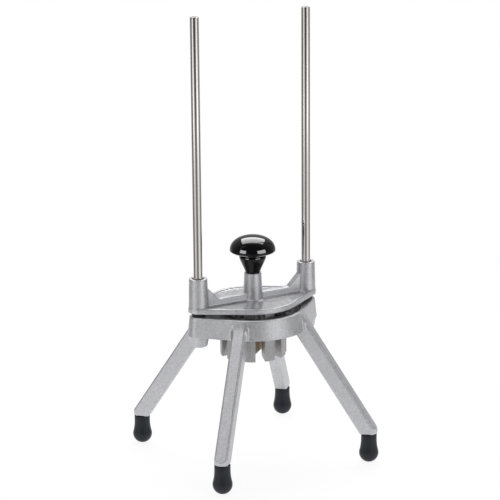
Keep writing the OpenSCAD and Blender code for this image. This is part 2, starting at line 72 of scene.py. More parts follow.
class Slot(str, Enum):
    """Names of the record's material slots for the modelled pieces, which deliver takes but does not use."""

    CASTING = "cast_aluminium"
    ROD = "ground_steel"
    RUBBER = "rubber"
    KNOB = "knob_plastic"


class Pick(str, Enum):
    """What is selected in edit mode."""

    POINTS = "VERT"
    EDGES = "EDGE"
    FACES = "FACE"


class Join(str, Enum):
    """How a tool acts on a piece."""

    ADD = "UNION"
    CUT = "DIFFERENCE"
    SHARE = "INTERSECT"


# ---------------------------------------------------------------- finishes


class Wire:
    """A value between nodes, with arithmetic that adds the Math nodes."""

    def __init__(self, sheet: "Sheet", socket: bpy.types.NodeSocket | None) -> None:
        """Holds the socket that the value leaves from."""
        self.sheet = sheet
        self.socket = socket

    def _math(self, operation: str, first: "Wire | float", second: "Wire | float",
              clamp: bool = False) -> "Wire":
        """Adds one Math node and returns its result."""
        return self.sheet.add("ShaderNodeMath", {"operation": operation, "use_clamp": clamp},
                              {0: first, 1: second})

    def __add__(self, other: "Wire | float") -> "Wire":
        """Sum."""
        return self._math("ADD", self, other)

    def __radd__(self, other: float) -> "Wire":
        """Sum, with a number on the left."""
        return self._math("ADD", other, self)

    def __sub__(self, other: "Wire | float") -> "Wire":
        """Difference."""
        return self._math("SUBTRACT", self, other)

    def __rsub__(self, other: float) -> "Wire":
        """Difference, with a number on the left."""
        return self._math("SUBTRACT", other, self)

    def __mul__(self, other: "Wire | float") -> "Wire":
        """Product."""
        return self._math("MULTIPLY", self, other)

    def __rmul__(self, other: float) -> "Wire":
        """Product, with a number on the left."""
        return self._math("MULTIPLY", other, self)

    def angle(self, along: "Wire") -> "Wire":
        """The angle in radians whose sine runs with this value and whose cosine with the other."""
        return self._math("ARCTAN2", self, along)

    def window(self, low: float, high: float) -> "Wire":
        """0 below low, 1 above high and a straight climb between them."""
        return self._math("MULTIPLY", self - low, 1.0 / (high - low), clamp=True)


class Sheet:
    """The node sheet of one material."""

    def __init__(self, name: str) -> None:
        """Starts an empty sheet.

        Args:
            name: The material's name.
        """
        self.material = bpy.data.materials.new(name)
        self.material.use_nodes = True
        self.tree = self.material.node_tree
        self.tree.nodes.clear()

    def add(self, kind: str, settings: dict, values: dict, output: int | str = 0) -> Wire:
        """Adds a node.

        Args:
            kind: The node's type.
            settings: Its settings, set first. "stops" fills a colour ramp.
            values: A number, colour or wire for each named or numbered input.
            output: Which output to return.

        Returns:
            The wire from that output.
        """
        node = self.tree.nodes.new(kind)
        for key, value in settings.items():
            if key == "stops":
                ramp = node.color_ramp
                while len(ramp.elements) < len(value):
                    ramp.elements.new(1.0)
                for element, (place, colour) in zip(ramp.elements, value):
                    element.position = place
                    element.color = (*colour, 1.0)
            else:
                setattr(node, key, value)
        for key, value in values.items():
            if isinstance(value, Wire):
                self.tree.links.new(value.socket, node.inputs[key])
            else:
                node.inputs[key].default_value = value
        return Wire(self, node.outputs[output] if node.outputs else None)

    def coords(self, stretch: Place = (1.0, 1.0, 1.0)) -> Wire:
        """The piece's own coordinates, stretched along its axes."""
        place = self.add("ShaderNodeTexCoord", {}, {}, "Object")
        return self.add("ShaderNodeMapping", {}, {"Vector": place, "Scale": stretch})

    def noise(self, place: Wire, size: float, detail: float = 2.0, rough: float = 0.5) -> Wire:
        """Soft noise whose lumps are about size metres across."""
        values = {"Vector": place, "Scale": 1.0 / size, "Detail": detail, "Roughness": rough}
        return self.add("ShaderNodeTexNoise", {}, values)

    def blend(self, low: Colour, high: Colour, factor: Wire) -> Wire:
        """A colour between two."""
        return self.add("ShaderNodeMix", {"data_type": "RGBA"},
                        {0: factor, 6: (*low, 1.0), 7: (*high, 1.0)}, 2)

    def bump(self, height: Wire, depth: float) -> Wire:
        """A normal roughened by a height of up to depth metres."""
        return self.add("ShaderNodeBump", {}, {"Height": height, "Distance": depth, "Strength": 1.0})

    def ray(self, kind: str) -> Wire:
        """1 for rays of a kind, such as Is Camera Ray, and 0 for all others."""
        return self.add("ShaderNodeLightPath", {}, {}, kind)

    def finish(self, **values: object) -> bpy.types.Material:
        """Closes the sheet with a Principled shader.

        Args:
            values: Its inputs, with underscores for spaces.

        Returns:
            The finished material.
        """
        named = {key.replace("_", " "): value for key, value in values.items()}
        shader = self.add("ShaderNodeBsdfPrincipled", {}, named)
        self.add("ShaderNodeOutputMaterial", {}, {"Surface": shader})
        return self.material


class RoomSheet(Sheet):
    """The node sheet of the room round the object."""

    def __init__(self, name: str) -> None:
        """Starts an empty sheet on a new world.

        Args:
            name: The world's name.
        """
        self.room = bpy.data.worlds.new(name)
        self.room.use_nodes = True
        self.tree = self.room.node_tree
        self.tree.nodes.clear()


@dataclass(frozen=True)
class CastSkin:
    """Tumbled and blasted aluminium as it leaves the foundry."""

    name: str = "cast_skin"
    dull: Colour = (0.47, 0.473, 0.495)
    bright: Colour = (0.68, 0.682, 0.705)
    rough: float = 0.40
    metal: float = 0.88
    grain: float = 0.0013
    pits: float = 0.0028
    clouds: float = 0.014
    depth: float = 0.00022

    def material(self) -> bpy.types.Material:
        """Builds the finish with its blasted grain, shallow pits and cloudy tone.

        Returns:
            The finished material.
        """
        sheet = Sheet(self.name)
        place = sheet.coords()
        grain = sheet.noise(place, self.grain, 2.0, 0.6)
        pits = sheet.noise(place, self.pits, 3.0, 0.65)
        cloud = sheet.noise(place, self.clouds)
        tone = (0.40 * pits + 0.50 * grain + 0.15 * cloud).window(0.38, 0.66)
        return sheet.finish(
            Base_Color=sheet.blend(self.dull, self.bright, tone),
            Metallic=self.metal,
            Roughness=self.rough + 0.20 * (pits - 0.5) + 0.12 * (cloud - 0.5),
            Normal=sheet.bump(0.7 * grain + 0.6 * pits, self.depth),
        )


@dataclass(frozen=True)
class MilledFloor:
    """The smoother bed of the head's pocket."""

    name: str = "pocket_bed"
    dark: Colour = (0.66, 0.66, 0.68)
    light: Colour = (0.80, 0.80, 0.82)
    rough: float = 0.21
    waves: float = 0.006
    grain: float = 0.0011
    depth: float = 0.00005

    def material(self) -> bpy.types.Material:
        """Builds the finish, with faint waves and clouds.

        Returns:
            The finished material.
        """
        sheet = Sheet(self.name)
        place = sheet.coords()
        wave = sheet.noise(place, self.waves)
        fine = sheet.noise(place, self.grain, 2.0, 0.6)
        return sheet.finish(
            Base_Color=sheet.blend(self.dark, self.light, wave.window(0.35, 0.7)),
            Metallic=0.9,
            Roughness=self.rough + 0.10 * (wave - 0.5) + 0.06 * (fine - 0.5),
            Normal=sheet.bump(0.6 * wave + 0.4 * fine, self.depth),
        )


@dataclass(frozen=True)
class GroundSteel:
    """Bright steel with fine lines left by the wheel.

    lines gives the stretch of the lines: a high number packs them close along that axis. pitch
    gives how far apart they lie, depth how deep they go and wear how much the marks show.
    """

    name: str
    tone: Colour = (0.62, 0.60, 0.575)
    rough: float = 0.15
    lines: Place = (0.05, 0.05, 1.0)
    pitch: float = 0.0003
    depth: float = 0.000003
    wear: float = 1.0
    clouds: float = 0.02

    def material(self) -> bpy.types.Material:
        """Builds the finish, with its lines and a few longer marks.

        Returns:
            The finished material.
        """
        sheet = Sheet(self.name)
        lines = sheet.noise(sheet.coords(self.lines), self.pitch, 3.0, 0.7)
        marks = sheet.noise(sheet.coords(self.lines), self.pitch * 9.0)
        cloud = sheet.noise(sheet.coords(), self.clouds)
        darker = tuple((1.0 - 0.12 * self.wear) * part for part in self.tone)
        mark, stain = 0.10 * self.wear, 0.06 * self.wear
        return sheet.finish(
            Base_Color=sheet.blend(darker, self.tone, (0.5 * lines + 0.5 * marks).window(0.3, 0.6)),
            Metallic=1.0,
            Roughness=self.rough + mark * (marks - 0.5) + stain * (cloud - 0.5),
            Normal=sheet.bump(lines, self.depth),
        )


@dataclass(frozen=True)
class Rubber:
    """Moulded rubber, satin, with a blue cast."""

    name: str = "foot_rubber"
    dark: Colour = (0.004, 0.005, 0.010)
    light: Colour = (0.010, 0.0125, 0.023)
    teeth: float = 0.0005
    clouds: float = 0.004
    depth: float = 0.00006

    def material(self) -> bpy.types.Material:
        """Builds the finish, with a fine tooth and worn clouds.

        Returns:
            The finished material.
        """
        sheet = Sheet(self.name)
        place = sheet.coords()
        tooth = sheet.noise(place, self.teeth, 2.0, 0.6)
        cloud = sheet.noise(place, self.clouds, 3.0, 0.6)
        tone = (0.3 * tooth + 0.7 * cloud).window(0.35, 0.65)
        return sheet.finish(
            Base_Color=sheet.blend(self.dark, self.light, tone),
            Roughness=0.48 + 0.18 * (cloud - 0.5),
            Specular_IOR_Level=0.45,
            Normal=sheet.bump(0.5 * tooth + 0.5 * cloud, self.depth),
        )


@dataclass(frozen=True)
class KnobPlastic:
    """Black phenolic with a deep polish."""

    name: str = "knob_black"
    dark: Colour = (0.0006, 0.0006, 0.0008)
    light: Colour = (0.0012, 0.0012, 0.0015)
    smears: float = 0.012
    grain: float = 0.0012
    depth: float = 0.00002

    def material(self) -> bpy.types.Material:
        """Builds the finish, with traces of handling in its gloss.

        Returns:
            The finished material.
        """
        sheet = Sheet(self.name)
        place = sheet.coords()
        smear = sheet.noise(place, self.smears, 4.0, 0.6)
        fine = sheet.noise(place, self.grain)
        return sheet.finish(
            Base_Color=sheet.blend(self.dark, self.light, smear),
            Roughness=0.035 + 0.03 * smear.window(0.45, 0.8) + 0.02 * fine,
            Specular_IOR_Level=0.25,
            Normal=sheet.bump(smear, self.depth),
        )


@dataclass(frozen=True)
class Bronze:
    """Sintered bronze, satin and slightly oily."""

    name: str = "bush_bronze"
    dark: Colour = (0.24, 0.16, 0.075)
    light: Colour = (0.42, 0.30, 0.15)
    pores: float = 0.0004
    clouds: float = 0.005
    depth: float = 0.00004

    def material(self) -> bpy.types.Material:
        """Builds the finish, with the pores of the sinter.

        Returns:
            The finished material.
        """
        sheet = Sheet(self.name)
        place = sheet.coords()
        pores = sheet.noise(place, self.pores, 2.0, 0.7)
        cloud = sheet.noise(place, self.clouds)
        return sheet.finish(
            Base_Color=sheet.blend(self.dark, self.light, 0.5 * pores + 0.5 * cloud),
            Metallic=0.95,
            Roughness=0.36 + 0.2 * (pores - 0.5),
            Normal=sheet.bump(pores, self.depth),
        )


# ------------------------------------------------------------------- bench


class Bench:
    """Hand operations on one piece at a time. Lengths are in millimetres."""

    @staticmethod
    def clear() -> None:
        """Leaves edit mode and drops every selection."""
        if bpy.context.mode != "OBJECT":
            bpy.ops.object.mode_set(mode="OBJECT")
        bpy.ops.object.select_all(action="DESELECT")

    @staticmethod
    def hold(piece: bpy.types.Object) -> None:
        """Makes the piece the one that operators act on.

        Args:
            piece: The piece to act on.
        """
        Bench.clear()
        piece.select_set(True)
        bpy.context.view_layer.objects.active = piece

    @staticmethod
    def edit(piece: bpy.types.Object, pick: Pick) -> None:
        """Opens the piece in edit mode with nothing selected.

        Args:
            piece: The piece to open.
            pick: What is selected in it.
        """
        Bench.hold(piece)
        bpy.ops.object.mode_set(mode="EDIT")
        bpy.ops.mesh.select_mode(type=pick.value)
        bpy.ops.mesh.select_all(action="DESELECT")

    @staticmethod
    def close() -> None:
        """Leaves edit mode."""
        bpy.ops.object.mode_set(mode="OBJECT")

    @staticmethod
    def settle(piece: bpy.types.Object) -> None:
        """Puts the piece's place into its mesh, with its object at the origin."""
        Bench.hold(piece)
        bpy.ops.object.transform_apply(location=True, rotation=True, scale=True)

    @staticmethod
    def recalculate(piece: bpy.types.Object) -> None:
        """Merges doubles and turns all faces outwards.

        Args:
            piece: The piece to mend.
        """
        Bench.edit(piece, Pick.POINTS)
        bpy.ops.mesh.select_all(action="SELECT")
        bpy.ops.mesh.remove_doubles(threshold=WELD * MM)
        bpy.ops.mesh.normals_make_consistent(inside=False)
        Bench.close()

    @staticmethod
    def circle(name: str, radius: float, z: float, steps: int) -> bpy.types.Object:
        """Adds a filled circle at a height, facing up.

        Args:
            name: The piece's name.
            radius: The circle's radius.
            z: Its height.
            steps: Its sides.

        Returns:
            The circle, one face round the origin's axis.
        """
        Bench.clear()
        bpy.ops.mesh.primitive_circle_add(vertices=steps, radius=radius * MM, fill_type="NGON",
                                          location=(0.0, 0.0, z * MM))
        piece = bpy.context.active_object
        piece.name = name
        Bench.settle(piece)
        return piece

    @staticmethod
    def outlined(name: str, outline: Sequence[Point], z: float) -> bpy.types.Object:
        """Adds a flat face and opens it in edit mode, selected.

        Args:
            name: The piece's name.
            outline: The face's points.
            z: Its height.

        Returns:
            The face.
        """
        piece = Bench.circle(name, START_R, 0.0, len(outline))
        for vertex, (x, y) in zip(piece.data.vertices, outline):
            vertex.co = (x * MM, y * MM, z * MM)
        piece.data.update()
        Bench.edit(piece, Pick.FACES)
        bpy.ops.mesh.select_all(action="SELECT")
        return piece

    @staticmethod
    def turned(name: str, profile: Sequence[Point], centre: Point = (0.0, 0.0), steps: int = 72,
               pole: bool = False) -> bpy.types.Object:
        """Turns a piece by drawing a circle up through a profile.

        Args:
            name: The piece's name.
            profile: Radius and height of each step, from the lowest end.
            centre: Where the axis stands.
            steps: Sides of the circle.
            pole: Whether the last circle closes to a point.

        Returns:
            The closed piece.
        """
        piece = Bench.circle(name, profile[0][0], profile[0][1], steps)
        Bench.edit(piece, Pick.FACES)
        bpy.ops.mesh.select_all(action="SELECT")
        for (r0, z0), (r1, z1) in zip(profile, profile[1:]):
            bpy.ops.mesh.extrude_region_move(
                TRANSFORM_OT_translate={"value": (0.0, 0.0, (z1 - z0) * MM)})
            bpy.ops.transform.resize(value=(r1 / r0, r1 / r0, 1.0),
                                     center_override=(0.0, 0.0, z1 * MM))
        if pole:
            bpy.ops.mesh.merge(type="CENTER")
        bpy.ops.mesh.select_all(action="SELECT")
        bpy.ops.transform.translate(value=(centre[0] * MM, centre[1] * MM, 0.0))
        Bench.close()
        Bench.recalculate(piece)
        return piece

    @staticmethod
    def plate(name: str, outline: Sequence[Point], z: float,
              steps: Sequence[Point]) -> bpy.types.Object:
        """Raises a plate from an outline by insets, each given as inset and rise.

        Args:
            name: The piece's name.
            outline: Points of the lower face.
            z: Height of the lower face.
            steps: Inset and rise of each step.

        Returns:
            The closed piece.
        """
        piece = Bench.outlined(name, outline, z)
        if piece.data.polygons[0].normal.z < 0.0:
            bpy.ops.mesh.flip_normals()
        for inset, rise in steps:
            bpy.ops.mesh.inset(thickness=max(inset, LEAST_INSET) * MM, depth=rise * MM)
        bpy.ops.mesh.select_all(action="DESELECT")
        bpy.ops.mesh.select_mode(type=Pick.EDGES.value)
        bpy.ops.mesh.select_non_manifold()
        bpy.ops.mesh.edge_face_add()
        Bench.close()
        Bench.recalculate(piece)
        return piece

    @staticmethod
    def prism(name: str, outline: Sequence[Point], start: float, end: float,
              place: Matrix) -> bpy.types.Object:
        """Pulls an outline out between two depths, then turns it into place.

        Args:
            name: The piece's name.
            outline: The outline's points.
            start: Depth of its first face.
            end: Depth of its last face.
            place: Where it goes.

        Returns:
            The closed piece.
        """
        piece = Bench.outlined(name, outline, start)
        bpy.ops.mesh.extrude_region_move(
            TRANSFORM_OT_translate={"value": (0.0, 0.0, (end - start) * MM)})
        Bench.close()
        piece.matrix_world = place
        Bench.settle(piece)
        Bench.recalculate(piece)
        return piece

    @staticmethod
    def loft(name: str, sections: Sequence[Sequence[Vector]]) -> bpy.types.Object:
        """Draws a closed skin through sections that have the same number of points.

        Args:
            name: The piece's name.
            sections: Each section's points, a multiple of four, in one order round.

        Returns:
            The closed piece.
        """
        count = len(sections[0])
        piece = Bench.circle(name, START_R, 0.0, count)
        Bench.edit(piece, Pick.FACES)
        bpy.ops.mesh.select_all(action="SELECT")
        for _ in sections[1:]:
            bpy.ops.mesh.extrude_region_move(TRANSFORM_OT_translate={"value": (0.0, 0.0, MM)})
        Bench.close()
        for vertex in piece.data.vertices:
            turn = math.atan2(vertex.co.y, vertex.co.x) / math.tau
            place = sections[round(vertex.co.z / MM)][round(turn * count) % count]
            vertex.co = place * MM
        piece.data.update()
        Bench.recalculate(piece)
        return piece

    @staticmethod
    def block(name: str, low: Place, high: Place) -> bpy.types.Object:
        """Adds a block between two corners.

        Args:
            name: The block's name.
            low: Its lowest corner.
            high: Its highest corner.

        Returns:
            The block.
        """
        Bench.clear()
        middle = [(a + b) / 2 * MM for a, b in zip(low, high)]
        size = [(b - a) * MM for a, b in zip(low, high)]
        bpy.ops.mesh.primitive_cube_add(size=1.0, location=middle)
        piece = bpy.context.active_object
        piece.name = name
        piece.scale = size
        Bench.settle(piece)
        return piece

    @staticmethod
    def bevel(piece: bpy.types.Object, width: float, steps: int,
              chosen: Callable[[Vector, Vector], bool]) -> None:
        """Rounds some edges.

        Args:
            piece: The piece to round.
            width: Width of the rounding.
            steps: Faces across it.
            chosen: Says of the two ends of an edge, in millimetres, whether it is rounded.
        """
        Bench.edit(piece, Pick.EDGES)
        Bench.close()
        points = [vertex.co / MM for vertex in piece.data.vertices]
        for edge in piece.data.edges:
            edge.select = chosen(points[edge.vertices[0]], points[edge.vertices[1]])
        bpy.ops.object.mode_set(mode="EDIT")
        bpy.ops.mesh.bevel(offset=width * MM, segments=steps, affect="EDGES", clamp_overlap=True)
        Bench.close()

    @staticmethod
    def slice(piece: bpy.types.Object, at: Place, normal: Place) -> None:
        """Cuts a side off the piece and closes it.

        Args:
            piece: The piece to cut.
            at: A point of the plane of the cut.
            normal: Which way the dropped side lies.
        """
        Bench.edit(piece, Pick.POINTS)
        bpy.ops.mesh.select_all(action="SELECT")
        bpy.ops.mesh.bisect(plane_co=[part * MM for part in at], plane_no=normal,
                            use_fill=True, clear_outer=True)
        Bench.close()

    @staticmethod
    def combine(piece: bpy.types.Object, tool: bpy.types.Object,
                join: Join = Join.ADD) -> bpy.types.Object:
        """Joins or cuts a piece with a tool.

        Args:
            piece: The piece that stays.
            tool: The piece that is used up.
            join: How the tool acts.

        Returns:
            The piece.
        """
        Bench.hold(piece)
        modifier = piece.modifiers.new("combine", "BOOLEAN")
        modifier.operation = join.value
        modifier.solver = "EXACT"
        modifier.object = tool
        bpy.ops.object.modifier_apply(modifier=modifier.name)
        bpy.data.objects.remove(tool)
        return piece

    @staticmethod
    def bore(piece: bpy.types.Object, radius: float, low: float, high: float,
             centre: Point = (0.0, 0.0), steps: int = 72) -> None:
        """Drills the piece along Z between two heights."""
        drill = Bench.turned("drill", [(radius, low), (radius, high)], centre, steps)
        Bench.combine(piece, drill, Join.CUT)

    @staticmethod
    def twin(piece: bpy.types.Object, place: Matrix) -> bpy.types.Object:
        """Copies the piece to another place.

        Args:
            piece: The piece to copy.
            place: Where the copy goes.

        Returns:
            The copy, with its own mesh.
        """
        Bench.hold(piece)
        bpy.ops.object.duplicate(linked=False)
        copy = bpy.context.active_object
        copy.matrix_world = place
        Bench.settle(copy)
        Bench.recalculate(copy)
        return copy

    @staticmethod
    def sand(piece: bpy.types.Object, grit: float, passes: int = 3) -> None:
        """Rounds a casting's edges and corners all over, as tumbling does.

        Args:
            piece: The closed casting.
            grit: Size of the skin's mesh, in millimetres.
            passes: How often the skin is smoothed.
        """
        Bench.hold(piece)
        skin = piece.modifiers.new("skin", "REMESH")
        skin.mode = "VOXEL"
        skin.voxel_size = grit * MM
        bpy.ops.object.modifier_apply(modifier=skin.name)
        ease = piece.modifiers.new("ease", "SMOOTH")
        ease.factor = 0.5
        ease.iterations = passes
        bpy.ops.object.modifier_apply(modifier=ease.name)
        count = sum(len(face.vertices) - 2 for face in piece.data.polygons)
        if count > MOST_TRIANGLES:
            thin = piece.modifiers.new("thin", "DECIMATE")
            thin.ratio = MOST_TRIANGLES / count
            bpy.ops.object.modifier_apply(modifier=thin.name)

    @staticmethod
    def shade(piece: bpy.types.Object, angle: float) -> None:
        """Shades smooth up to an angle between faces, in degrees."""
        Bench.hold(piece)
        bpy.ops.object.shade_smooth_by_angle(angle=math.radians(angle))


def arc(centre: Point, radius: float, first: float, last: float, steps: int) -> list[Point]:
    """Points of an arc between two angles in degrees."""
    turn = [math.radians(first + (last - first) * i / steps) for i in range(steps + 1)]
    return [(centre[0] + radius * math.cos(a), centre[1] + radius * math.sin(a)) for a in turn]


def round_over(radius: float) -> list[Point]:
    """Inset and rise of each step round a plate's upper edge."""
    turns = [math.radians(22.5 * i) for i in range(5)]
    return [(radius * (math.cos(a) - math.cos(b)), radius * (math.sin(b) - math.sin(a)))
            for a, b in zip(turns, turns[1:])]


def cove(x: float, z: float, radius: float) -> list[Point]:
    """Points of a hollow corner, from a bed at height z up to a flank at x."""
    return [(x + radius * (1 - math.sin(math.radians(a))), z + radius * (1 - math.cos(math.radians(a))))
            for a in (0, 15, 30, 45, 60, 75, 90)]


def deliver(piece: bpy.types.Object, body: Body, slot: Slot, *nodes: str) -> None:
    """Hands a finished piece over.

    Args:
        piece: The finished piece.
        body: The body that it rides on.
        slot: Its material slot; not used.
        nodes: The nodes that it stands for.
    """
    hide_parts(*nodes)
    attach(piece, body.value)
    log.info("%s: %d faces, on %s", piece.name, len(piece.data.polygons), body.value)


# --------------------------------------------------------- shared geometry


@dataclass
class Lens:
    """The outline that frame and head share: a ring with a rounded end over each rod."""

    ring_r: float
    end_r: float
    rod_x: float = 67.0
    ring_steps: int = 48
    end_steps: int = 24

    def points(self) -> list[Point]:
        """Draws the outline.

        Returns:
            The outline's points, anticlockwise.
        """
        lean = math.degrees(math.acos((self.ring_r - self.end_r) / self.rod_x))
        right = arc((self.rod_x, 0.0), self.end_r, -lean, lean, self.end_steps)
        back = arc((0.0, 0.0), self.ring_r, lean, 180.0 - lean, self.ring_steps)
        return right + back + [(-x, -y) for x, y in right] + [(-x, -y) for x, y in back]


@dataclass
class Feet:
    """Four rubber feet: a bulb with a waisted collar, pushed on under the legs."""

    spacing: float = 182.0
    bulb_r: float = 10.5
    flat_r: float = 3.4
    collar_r: float = 8.5
    collar_h: float = 6.5
    height: float = 32.0
    finish: Rubber = field(default_factory=Rubber)

    def profile(self) -> list[Point]:
        """Draws the half section from the floor up.

        Returns:
            Radius and height of each step.
        """
        bulb_z = math.sqrt(self.bulb_r ** 2 - self.flat_r ** 2)
        waist_z = self.height - self.collar_h
        rise = waist_z - bulb_z
        waist_r = (self.collar_r ** 2 + rise ** 2 - self.bulb_r ** 2) / (2 * (self.bulb_r - self.collar_r))
        reach = self.collar_r + waist_r
        lean = math.degrees(math.atan2(rise, reach))
        low = -math.degrees(math.acos(self.flat_r / self.bulb_r))
        bulb = arc((0.0, bulb_z), self.bulb_r, low, lean, 20)
        waist = arc((reach, waist_z), waist_r, 180.0 + lean, 180.0, 8)
        top = self.height - 0.3
        rim = [(self.collar_r, top - 0.5), (self.collar_r - 0.15, top - 0.15), (self.collar_r - 0.5, top)]
        return bulb + waist[1:] + rim

    def make(self) -> None:
        """Turns one foot and copies it under each leg."""
        material = self.finish.material()
        half = self.spacing / 2
        first = Bench.turned("foot", self.profile(), steps=64)
        places = {"front_left": (-1, -1), "front_right": (1, -1), "back_right": (1, 1), "back_left": (-1, 1)}
        for where, (x, y) in places.items():
            foot = Bench.twin(first, Matrix.Translation((x * half * MM, y * half * MM, 0.0)))
            foot.name = f"rubber_foot_{where}"
            foot.data.materials.append(material)
            Bench.shade(foot, 40.0)
            deliver(foot, Body.BASE, Slot.RUBBER, f"foot_{where}")
        bpy.data.objects.remove(first)


@dataclass
class Rods:
    """Two ground guide rods with chamfered tops."""

    rod_r: float = 4.7625
    rod_x: float = 67.0
    low_z: float = 140.5
    top_z: float = 485.7
    chamfer: float = 0.8
    finish: GroundSteel = field(default_factory=lambda: GroundSteel(
        "rod_steel", rough=0.17, depth=0.0000003, wear=0.4))

    def make(self) -> None:
        """Turns both rods."""
        material = self.finish.material()
        r, z, c = self.rod_r, self.top_z, self.chamfer
        profile = [(r, self.low_z), (r, z - c - 0.15), (r - 0.04, z - c), (r - c + 0.05, z - 0.06),
                   (r - c - 0.12, z)]
        for side, where in ((-1, "left"), (1, "right")):
            rod = Bench.turned(f"guide_rod_{where}", profile, (side * self.rod_x, 0.0))
            rod.data.materials.append(material)
            Bench.shade(rod, 50.0)
            deliver(rod, Body.BASE, Slot.ROD, f"rod_{where}")


@dataclass
class Knob:
    """Black knob: a domed cap on a collar and a flared neck."""

    neck: Sequence[Point] = ((7.5, 204.5), (7.95, 204.9), (8.5, 206.6), (9.75, 209.6), (11.2, 212.8), (12.7, 216.2),
                             (13.9, 219.1), (14.35, 220.6), (14.5, 221.6), (14.45, 222.3), (14.2, 222.9),
                             (13.8, 223.3), (13.4, 223.6), (13.3, 224.0), (13.5, 224.5), (13.8, 224.9))
    cap_r: float = 24.7
    rim_z: float = 229.3
    dome_h: float = 16.0
    belly_h: float = 5.2
    squareness: float = 2.1
    finish: KnobPlastic = field(default_factory=KnobPlastic)

    def profile(self) -> list[Point]:
        """Draws the half section from the post up, fine enough for clean reflections.

        Returns:
            Radius and height of each step.
        """
        belly = [(self.cap_r * math.cos(a), self.rim_z - self.belly_h * math.sin(a))
                 for a in (math.radians(54.0 - 3.0 * i) for i in range(18))]
        power = 2.0 / self.squareness
        dome = [(self.cap_r * math.cos(a) ** power, self.rim_z + self.dome_h * math.sin(a) ** power)
                for a in (math.radians(1.8 * i) for i in range(50))]
        return list(self.neck) + belly + dome

    def make(self) -> None:
        """Turns the knob."""
        knob = Bench.turned("hand_knob", self.profile(), steps=128, pole=True)
        knob.data.materials.append(self.finish.material())
        Bench.shade(knob, 40.0)
        deliver(knob, Body.PUSHER, Slot.KNOB, "knob")


